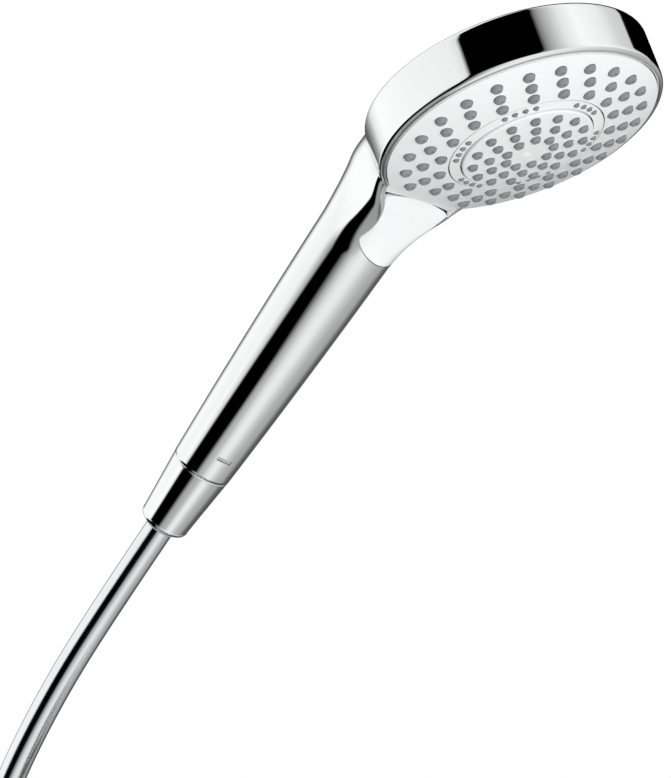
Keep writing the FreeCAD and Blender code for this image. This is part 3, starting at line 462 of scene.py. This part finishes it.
def around(radius, first, count):
    """Evenly spaced spots on a circle, from the first angle in degrees."""
    angles = [math.radians(first) + math.tau * k / count for k in range(count)]
    return [(radius * math.cos(a), radius * math.sin(a)) for a in angles]


def nozzle_mat(name, node, outer, inner, places, base, height, lift=0.0):
    """Domed mat with a round-tipped nozzle at each place, each with its own small outlet."""
    steps = [inner + (outer - inner) * k / 6 for k in range(7)]
    layer = [(r, dome(r, plate_wall)) for r in steps] + [(r, dome(r, plate_wall + mat_wall)) for r in reversed(steps)]
    mat = turned(name, layer, face_place, 96)
    whole = bmesh.new()
    whole.from_mesh(mat.data)
    tip = base * 0.45
    outline = [(base, -plate_wall - 0.0004), (base, 0.0), (base * 0.985, height * 0.35)]
    outline += arc((base * 0.96 - tip, height - tip), tip, 8, 82, 6)
    outline += [(base * 0.32, height), (base * 0.26, height - 0.00006)]
    outline += [(base * 0.25, height * 0.3), (0.0, height * 0.25)]
    for x, y in places:
        foot = Matrix.Translation((x, y, dome(math.hypot(x, y)) + lift))
        nub = turned("nozzle", outline + [(0.0, -plate_wall - 0.0004)], face_place @ foot, 24)
        whole.from_mesh(nub.data)
        bpy.data.objects.remove(nub)
    whole.to_mesh(mat.data)
    whole.free()
    mat.data.shade_smooth()
    mat.data.materials.append(nozzle_silicone)
    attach(mat, "handset")
    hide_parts(node)


outer_places = [spot for spot in around(0.0458, 7.5, 24) if spot[1] > -0.044 or abs(spot[0]) > 0.010]
outer_places += around(0.0398, 90, 21) + around(0.0338, 0, 18)
nozzle_mat("outer_nozzles", "outer_nozzle_mat", 0.0480, 0.0312, outer_places, 0.0022, 0.0014)
slot_places = [spot for step in (-12.3, -4.1, 4.1, 12.3) for spot in around(0.0279, 30 + step, 6)]
nozzle_mat("ring_nozzles", "ring_nozzle_mat", 0.0295, 0.0263, slot_places, 0.00105, 0.0007)
middle_places = around(0.0216, 90, 15) + around(0.0155, 15, 12) + around(0.0094, 90, 9)
nozzle_mat("center_nozzles", "center_nozzle_mat", 0.0246, 0.0, middle_places, 0.0019, 0.0014, lift=0.0011)

# ---- Conical nut and its bush ----
# Chromed nut that the wall holder grips; it is turned plastic-lined brass, plated like the handle.
# A grey plastic bush in its mouth centres the hose.


def with_holding_rings(profile, near=0.00012, least=0.0012):
    """Adds points close to both ends of each long side, so that smooth shading stays at the edges."""
    full = []
    for (r0, z0), (r1, z1) in zip(profile, profile[1:] + profile[:1]):
        full.append((r0, z0))
        length = math.hypot(r1 - r0, z1 - z0)
        if length > least:
            part = near / length
            full += [(r0 + (r1 - r0) * part, z0 + (z1 - z0) * part), (r1 - (r1 - r0) * part, z1 - (z1 - z0) * part)]
    return full


nut_profile = [(0.0082, -0.0310)] + arc((0.0082, -0.0286), 0.0024, -85, -5, 8)
nut_profile += [(0.01048, -0.0286), (0.01265, -0.0009)] + arc((0.0122, -0.0008), 0.0005, 0, 80, 4)
nut_profile += [(0.0104, -0.0003), (0.0104, -0.0162), (0.0076, -0.0162), (0.0076, -0.0280), (0.0082, -0.0280)]
cone_nut = turned("cone_nut_plated", with_holding_rings(nut_profile), handle_place)
cone_nut.data.materials.append(bright_chrome)
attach(cone_nut, "hose_nut")
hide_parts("cone_nut")

bush_profile = [(0.0082, -0.0281), (0.00635, -0.0281), (0.00635, -0.0318)]
bush_profile += arc((0.0071, -0.0316), 0.0006, -90, 0, 5)
bush_profile += [(0.0077, -0.0311), (0.0082, -0.0310)]
hose_bush = turned("hose_bush_moulded", with_holding_rings(bush_profile), handle_place)
grey_plastic = make_finish("grey_moulded_plastic", (0.42, 0.43, 0.45), 0.45, shade=0.05, bump=0.3)
hose_bush.data.materials.append(grey_plastic)
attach(hose_bush, "hose_nut")
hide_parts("hose_bush")

# ---- Inside parts ----
# Seals, springs, pins, waterway and the selector: moulded acetal and filled plastic, rubber rings,
# stainless pins and screws, fixed inside the head and neck before the spray face is clipped on.
seal_rubber = make_finish("black_seal_rubber", (0.03, 0.03, 0.032), 0.6, shade=0.15, bump=0.5)
black_plastic = make_finish("black_moulded_plastic", (0.035, 0.035, 0.04), 0.5, shade=0.12, bump=0.4)
pale_acetal = make_finish("pale_acetal", (0.78, 0.77, 0.72), 0.38, shade=0.03, bump=0.15)
drawn_steel = make_finish(
    "drawn_stainless_steel", (0.62, 0.62, 0.63), 0.28, metallic=1.0, shade=0.06, wear=0.12, bump=0.2,
)
inside_finishes = {
    seal_rubber: ("face_seal", "port_seals", "spindle_seal", "waterway_orings", "limiter_oring", "strainer_washer"),
    black_plastic: ("distributor", "distributor_cover", "valve_housing", "mechanism_frame", "water_tube"),
    grey_plastic: ("nipple_clip", "inlet_nipple", "flow_limiter", "hose_ferrule"),
    pale_acetal: ("selector_spindle", "selector_disc", "drive_ring", "pusher_rack", "rocker_lever"),
    drawn_steel: ("cover_screws", "return_spring", "button_pin", "rocker_pin"),
}
for finish, names in inside_finishes.items():
    for name in names:
        nodes[name].data.materials.clear()
        nodes[name].data.materials.append(finish)

# The spring stays on its stop under the head's far side. The real one shortens as the rack pushes into it; here it
# only gets its own copy of its mesh and keeps its length.
return_spring = nodes["return_spring"]
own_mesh(return_spring)

# ---- Hose fittings at the far end ----
# Six-sided chromed brass nut with its washer and crimped sleeve, for the wall elbow, and the strap
# that holds the spare turns of a new hose together.
for name, finish in (
    ("supply_nut", bright_chrome), ("supply_ferrule", bright_chrome),
    ("supply_washer", seal_rubber), ("hose_tie", black_plastic),
):
    nodes[name].data.materials.clear()
    nodes[name].data.materials.append(finish)

# ---- Floor and light ----
# A small pale round table under the part. The studio is a white room with tall black flags and grey
# walls, in four rings by height, that draw the dark stripes in the chrome. A softbox lights the face.
floor_profile = [(0.0, -0.004), (0.26, -0.004), (0.26, -0.001)]
floor_profile += arc((0.259, -0.001), 0.001, 0, 90, 4) + [(0.0, 0.0)]
floor = turned("pale_floor", floor_profile, Matrix.Translation((0.02, 0.02, cad_low.z - 0.001)), 96)
pale_floor = make_finish("pale_floor", (0.82, 0.82, 0.82), 0.6, shade=0.02, patch=6.0)
floor.data.materials.append(pale_floor)
floor.visible_glossy = False

world = bpy.data.worlds.new("studio")
bpy.context.scene.world = world
world.use_nodes = True
tree = world.node_tree
tree.nodes.clear()
heading = tree.nodes.new("ShaderNodeTexCoord")
parts = tree.nodes.new("ShaderNodeSeparateXYZ")
tree.links.new(heading.outputs["Generated"], parts.inputs["Vector"])
backwards = tree.nodes.new("ShaderNodeMath")
backwards.operation = "MULTIPLY"
backwards.inputs[1].default_value = -1.0
tree.links.new(parts.outputs["Y"], backwards.inputs[0])
round_angle = tree.nodes.new("ShaderNodeMath")
round_angle.operation = "ARCTAN2"
tree.links.new(parts.outputs["X"], round_angle.inputs[0])
tree.links.new(backwards.outputs["Value"], round_angle.inputs[1])
share = tree.nodes.new("ShaderNodeMapRange")
share.inputs["From Min"].default_value, share.inputs["From Max"].default_value = -math.pi, math.pi
tree.links.new(round_angle.outputs["Value"], share.inputs["Value"])


def studio_band(stops):
    """Brightness of the studio's walls by the compass angle, in degrees."""
    ramp = tree.nodes.new("ShaderNodeValToRGB")
    elements = ramp.color_ramp.elements
    elements.remove(elements[1])
    for angle, level in stops[1:]:
        elements.new((angle + 180) / 360).color = (level, level, level, 1)
    elements[0].color = (stops[0][1],) * 3 + (1,)
    tree.links.new(share.outputs["Result"], ramp.inputs["Fac"])
    return ramp


high = studio_band([
    (-180, 0.98), (-104, 0.86), (-98, 0.74), (-96, 0.0), (-35, 0.0), (-31, 0.22), (-25, 0.40), (-8, 0.78),
    (9, 0.96), (40, 0.84), (55, 0.66), (69, 0.60), (70.5, 0.0), (116, 0.0), (130, 0.08), (148, 0.12),
    (159, 0.33), (169, 0.75), (180, 0.98),
])
level = studio_band([
    (-180, 1.0), (-130, 0.98), (-120, 0.74), (-111, 0.42), (-103, 0.20), (-98, 0.0), (-84, 0.0), (-77, 0.2),
    (-66, 0.45), (-52, 0.72), (-30, 0.84), (0, 0.80), (30, 0.62), (65, 0.42), (80, 0.38), (86, 0.30),
    (94, 0.15), (103, 0.07), (111, 0.14), (130, 0.10), (148, 0.12), (159, 0.45), (168, 0.90), (180, 1.0),
])
low = studio_band([
    (-180, 0.0), (-84, 0.0), (-77, 0.2), (-66, 0.45), (-52, 0.72), (-30, 0.84), (0, 0.80), (30, 0.62),
    (65, 0.42), (80, 0.38), (86, 0.30), (94, 0.15), (103, 0.09), (115, 0.08), (160, 0.06), (172, 0.0), (180, 0.0),
])
ground = studio_band([
    (-180, 0.30), (-95, 0.34), (-80, 0.40), (-66, 0.50), (-52, 0.72), (-30, 0.84), (0, 0.80), (30, 0.62),
    (65, 0.42), (80, 0.38), (86, 0.30), (94, 0.15), (103, 0.09), (115, 0.10), (160, 0.20), (180, 0.30),
])


def blend_by_height(below, above, start, end):
    """Changes from one ring of the studio's walls to the next between two heights."""
    height = tree.nodes.new("ShaderNodeMapRange")
    height.interpolation_type = "SMOOTHSTEP"
    height.inputs["From Min"].default_value, height.inputs["From Max"].default_value = start, end
    tree.links.new(parts.outputs["Z"], height.inputs["Value"])
    mixed = tree.nodes.new("ShaderNodeMix")
    mixed.data_type = "RGBA"
    tree.links.new(height.outputs["Result"], mixed.inputs["Factor"])
    tree.links.new(below, mixed.inputs["A"])
    tree.links.new(above, mixed.inputs["B"])
    return mixed.outputs["Result"]


walls = blend_by_height(ground.outputs["Color"], low.outputs["Color"], -0.78, -0.62)
walls = blend_by_height(walls, level.outputs["Color"], -0.21, -0.10)
walls = blend_by_height(walls, high.outputs["Color"], 0.0, 0.2)
studio = tree.nodes.new("ShaderNodeBackground")
studio.inputs["Strength"].default_value = 1.05
tree.links.new(walls, studio.inputs["Color"])
backdrop = tree.nodes.new("ShaderNodeBackground")
backdrop.inputs["Color"].default_value = (1, 1, 1, 1)
backdrop.inputs["Strength"].default_value = 1.0
seen = tree.nodes.new("ShaderNodeLightPath")
choose = tree.nodes.new("ShaderNodeMixShader")
tree.links.new(seen.outputs["Is Camera Ray"], choose.inputs["Fac"])
tree.links.new(studio.outputs["Background"], choose.inputs[1])
tree.links.new(backdrop.outputs["Background"], choose.inputs[2])
out = tree.nodes.new("ShaderNodeOutputWorld")
tree.links.new(choose.outputs["Shader"], out.inputs["Surface"])

softbox = bpy.data.lights.new("softbox", "AREA")
softbox.shape, softbox.size, softbox.size_y, softbox.energy = "RECTANGLE", 0.9, 0.9, 8.6
softbox_place = bpy.data.objects.new("softbox", softbox)
bpy.context.scene.collection.objects.link(softbox_place)
softbox_place.location = (-0.55, -0.85, -0.45)
softbox_place.rotation_euler = (Vector((0, -0.12, 0.1)) - softbox_place.location).to_track_quat("-Z", "Y").to_euler()
softbox_place.visible_glossy = False

bpy.context.scene.view_settings.view_transform = "Standard"
